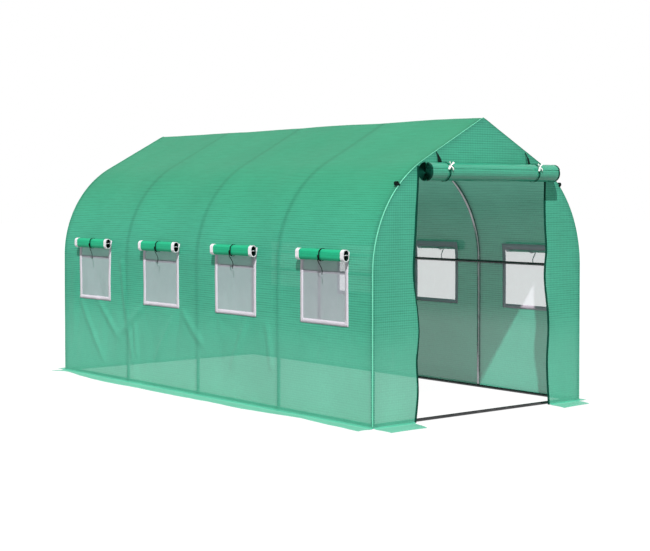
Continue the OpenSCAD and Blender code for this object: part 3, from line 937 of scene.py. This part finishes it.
def make_window_roll(side, word, tag, y, seed):
    """A rolled-up window flap with a white hem at both ends, and painted shade on its inner turns there. y is
    its middle.
    """
    cap = 0.036 / ROLL_L
    curve = tall_roll(ROLL_W / 2 - 0.001, 0.0034, 2, ROLL_C)
    roll, width = rolled_sheet(f"window_roll_{tag}", (side * ROLL_X, y, ROLL_Z), (0, 1, 0), (side, 0, 0),
                               ROLL_L, curve, 0.0, [ROLL_FILM, HEM_TAPE, ROLL_HOLLOW_SHADE],
                               [(0, cap, 1), (1 - cap, 1, 1)], seed, thick=0.0014, dark_from=30)
    dress(roll, "rolled_fabric", f"{word}_window_rolls")
    hems = []
    bar = Vector((ROLL_W / 2 - 0.004, 0, 0))
    for e in (-1, 1):
        end = Vector((side * ROLL_X, y + e * (ROLL_L / 2 - 0.017), ROLL_Z))
        hems.append(strap_band(end, (0, 1, 0), (side, 0, 0), ROLL_W / 2 - 0.006, 0.034, 0.0055, tall=ROLL_C))
        hems.append(ribbon([end - bar, end + bar], [(0, 0, 1)] * 2, (0, 1, 0), 0.030, 0.005))
    dress(joined(f"roll_hems_{tag}", hems, HEM_TAPE), "border_tape")


def make_tie(side, word, tag, y, seed):
    """A thin dark ribbon round a rolled window flap at y, with a knot and two loose ends."""
    r = ROLL_W / 2 + 0.0012
    x = side * ROLL_X
    band = strap_band((x, y, ROLL_Z), (0, 1, 0), (side, 0, 0), r, 0.0115, 0.0018, -0.006, tall=ROLL_C)
    knot_at = Vector((x + side * (r + 0.003), y + 0.004, ROLL_Z - ROLL_C * 0.7))
    parts = [band, ball(knot_at, (0.007, 0.010, 0.013))]
    last = 13
    widths = [0.0100 - 0.003 * i / last for i in range(last + 1)]
    for length, drift in ((0.122, -0.008), (0.034, 0.012)):
        points, normals = [], []
        for i in range(last + 1):
            t = i / last
            back = side * (r + 0.001) * 0.9 * ease(t, 0.15, 0.75)
            y = knot_at.y + drift * t + 0.005 * math.sin(6 * t + seed)
            points.append((knot_at.x - back, y, knot_at.z - length * t))
            normals.append((side, 0.3 * math.sin(4 * t + seed), 0))
        parts.append(ribbon(points, normals, (0, 1, 0.15), widths, 0.0014))
    dress(joined(f"window_tie_{tag}", parts, WEBBING), "webbing", f"{word}_window_ties")


def make_windows():
    """Four windows in each wall."""
    for side, word in ((-1, "left"), (1, "right")):
        for k, yc in enumerate(WINDOW_Y):
            yc += LEFT_SHIFT[k] if side < 0 else 0.0
            tag = f"{word}_{k + 1}"
            seed = k + (10 if side > 0 else 0)
            make_net(side, word, tag, yc)
            make_border(side, word, tag, yc)
            make_window_roll(side, word, tag, yc + ROLL_DY, seed)
            make_tie(side, word, tag, yc + TIE_DY, seed)


# The rolled-up door

def make_bow(at, out, side):
    """A knot and the four ends of a bow, which lies in front of the roll."""
    bow = [ball(at, (0.010, 0.008, 0.010))]
    last = 6
    widths = [0.008 + 0.006 * i / last for i in range(last + 1)]
    for turn, size in ((54, 0.034), (128, 0.032), (230, 0.034), (308, 0.033)):
        a = math.radians(turn + 6 * side)
        # The upper ends stand off the roll, the lower ones lie along it
        lean = -0.40 if turn < 180 else 0.45
        along = Vector((math.cos(a), 0, 0)) + Vector((0, lean, 0.90)) * math.sin(a)
        across = along.cross(out).normalized()
        points = []
        for i in range(last + 1):
            arch = out * (0.004 + 0.006 * math.sin(math.pi * i / last))
            points.append(at + arch + along * (size * i / last))
        bow.append(ribbon(points, [out] * (last + 1), across, widths, 0.0024))
    return bow


def strap_top(start, meet, wide):
    """The part of a strap from the seam down behind the roll, wide at its lower end."""
    last = 8
    bulge = Vector((0, -0.004, 0.003))
    points = [start.lerp(meet, i / last) + bulge * math.sin(math.pi * i / last) for i in range(last + 1)]
    widths = [0.005 + (wide - 0.005) * ease(i / last, 0, 0.9) for i in range(last + 1)]
    return ribbon(points, [(0, -0.9, 0.4)] * (last + 1), (1, 0, 0), widths, 0.0016)


def make_door():
    """The rolled-up door in its two straps."""
    low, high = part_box("door_roll")
    s_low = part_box("door_straps")[0]
    strap_t = 0.0023
    centre_z = (s_low[2] + strap_t + high[2]) / 2
    r = high[2] - centre_z
    centre = ((low[0] + high[0]) / 2, s_low[1] + strap_t + r, centre_z)
    length = high[0] - low[0]
    caps = [(0, 0.020 / length, 1), (1 - 0.016 / length, 1, 1)]
    curve = [(-a, b) for a, b in loose_roll(r + 0.0015, 0.009, 7.0)]
    # The free edge lies on the front of the roll, a little above its middle
    roll, width = rolled_sheet("door_roll_film", centre, (1, 0, 0), (0, -1, 0), length, curve,
                               -math.radians(68), [DOOR_FILM, ZIP], caps, 21, loose=0.006, flare=0.0025)
    dress(roll, "rolled_fabric", "door_roll")
    tops, bows = [], []
    reach = r + 0.004
    # Where on the roll each strap comes down behind it, and where its bow faces
    behind, front = math.radians(114), math.radians(36)
    out = Vector((0, -math.cos(front), math.sin(front)))
    for side, word, x, top, bow_x, wide in ((-1, "left", -0.430, 1.786, -0.430, 0.034),
                                            (1, "right", 0.430, 1.792, 0.429, 0.022)):
        start = Vector((x - 0.015, -HALF_L - 0.001, top))
        meet = Vector((x - 0.012, centre[1] - reach * math.cos(behind), centre[2] + reach * math.sin(behind)))
        tops.append(strap_top(start, meet, wide))
        band = strap_band((x, *centre[1:]), (1, 0, 0), (0, -1, 0), r + 0.0024, 0.010, 0.0016, 0.003)
        dress(joined(f"door_strap_band_{word}", [band], STRAP), "webbing", "door_straps")
        bows += make_bow(Vector((bow_x, centre[1], centre[2] - 0.003)) + out * (r + 0.006), out, side)
    dress(joined("door_strap_tops", tops, WEBBING), "webbing", "door_straps")
    dress(joined("door_strap_bows", bows, CORD), "webbing")


def make_loops():
    """Webbing loops on the front seam."""
    low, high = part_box("webbing_loops")
    centre_z = (low[2] + high[2]) / 2
    centre_y = (low[1] + high[1]) / 2
    r = (high[2] - low[2]) / 2
    parts = []
    for side in (-1, 1):
        at = Vector((side * (high[0] - r), centre_y, centre_z))
        out = Vector((side * (at.x * side - ARC_X), 0, at.z - LEG_H)).normalized()
        parts.append(strap_band(at + out * 0.001, (0, 1, 0), out, r - 0.004, 0.020, 0.0045))
        parts.append(strap_band(at + Vector((0, -0.002, 0)), (0, 1, 0), out, r - 0.009, 0.014, 0.0045, 0.002))
        parts.append(ball(at - out * (r - 0.004) + Vector((0, -0.008, 0)), (0.012, 0.012, 0.012)))
    dress(joined("seam_loops", parts, WEBBING), "webbing", "webbing_loops")


# Studio

def looked_at(nt):
    """A socket that is 1 for rays from the camera, a reflection or a transmission, and else 0."""
    path = add(nt, "ShaderNodeLightPath").outputs
    mirrored = math_node(nt, "MAXIMUM", path["Is Glossy Ray"], path["Is Transmission Ray"])
    return math_node(nt, "MAXIMUM", path["Is Camera Ray"], mirrored)


def make_floor():
    """A matt floor that takes shadows and looks white."""
    half, z = 60.0, -0.002
    m, nt, out = shader("floor_white")
    matt = add(nt, "ShaderNodeBsdfDiffuse", Color=(0.42, 0.42, 0.42, 1))
    glow = add(nt, "ShaderNodeEmission", Strength=1.12)
    white = mixed(nt, math_node(nt, "MULTIPLY", looked_at(nt), 0.88), matt, glow)
    nt.links.new(white.outputs[0], out.inputs[0])
    corners = [(-half, -half, z), (half, -half, z), (half, half, z), (-half, half, z)]
    mesh_object("floor", corners, [(0, 1, 2, 3)], m, smooth=False)


def make_light():
    """A sun from the front left, and a soft world that looks white."""
    world = bpy.data.worlds.new("studio")
    bpy.context.scene.world = world
    world.use_nodes = True
    nt = world.node_tree
    nt.nodes.clear()
    out = add(nt, "ShaderNodeOutputWorld")
    where = add(nt, "ShaderNodeTexCoord").outputs["Generated"]
    up = add(nt, "ShaderNodeSeparateXYZ", Vector=where).outputs["Z"]
    level = smooth(nt, up, 0.0, 0.8, 0.32, 0.22)
    lit = add(nt, "ShaderNodeBackground", Color=(0.97, 0.99, 1.0, 1), Strength=level)
    white = add(nt, "ShaderNodeBackground", Color=(1, 1, 1, 1), Strength=1.0)
    nt.links.new(mixed(nt, looked_at(nt), lit, white).outputs[0], out.inputs[0])
    sun = bpy.data.objects.new("key_light", bpy.data.lights.new("key_light", "SUN"))
    sun.data.energy = 4.8
    sun.data.angle = math.radians(1.2)
    sun.data.color = (1.0, 0.99, 0.97)
    sun.rotation_mode = "QUATERNION"
    sun.rotation_quaternion = Vector((0.45, 0.515, -0.73)).to_track_quat("-Z", "Y")
    bpy.context.scene.collection.objects.link(sun)


def make_camera():
    """The photo's camera, fitted to points of the photo."""
    photo_w, photo_h = 650, 551
    focal_px, centre_row = 1418.65, 236.0
    yaw, pitch = math.radians(39.28), math.radians(-1.61)
    cam = bpy.data.objects.new("camera", bpy.data.cameras.new("camera"))
    cam.data.sensor_width = 36.0
    cam.data.lens = focal_px / photo_w * cam.data.sensor_width
    cam.data.shift_y = -(photo_h / 2 - centre_row) / photo_w
    cam.data.clip_end = 200
    cam.location = (-6.958, -8.804, 1.4905)
    cam.rotation_euler = (math.pi / 2 + pitch, 0, -yaw)
    bpy.context.scene.collection.objects.link(cam)
    bpy.context.scene.camera = cam


def plate_tubes():
    """Gives the steel nodes their metal."""
    for name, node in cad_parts.items():
        if "hoop" in name or "rail" in name or name.startswith("ridge"):
            node.data.materials.clear()
            # The rails get the darker metal, a painted shade
            node.data.materials.append(RAIL_SHADE_ZINC if "rail" in name else ZINC)


make_camera()
make_light()
make_floor()
make_cover()
make_ends()
make_piping()
make_zips()
make_flaps()
make_windows()
make_door()
make_loops()
plate_tubes()

bpy.context.scene.view_settings.view_transform = "Standard"
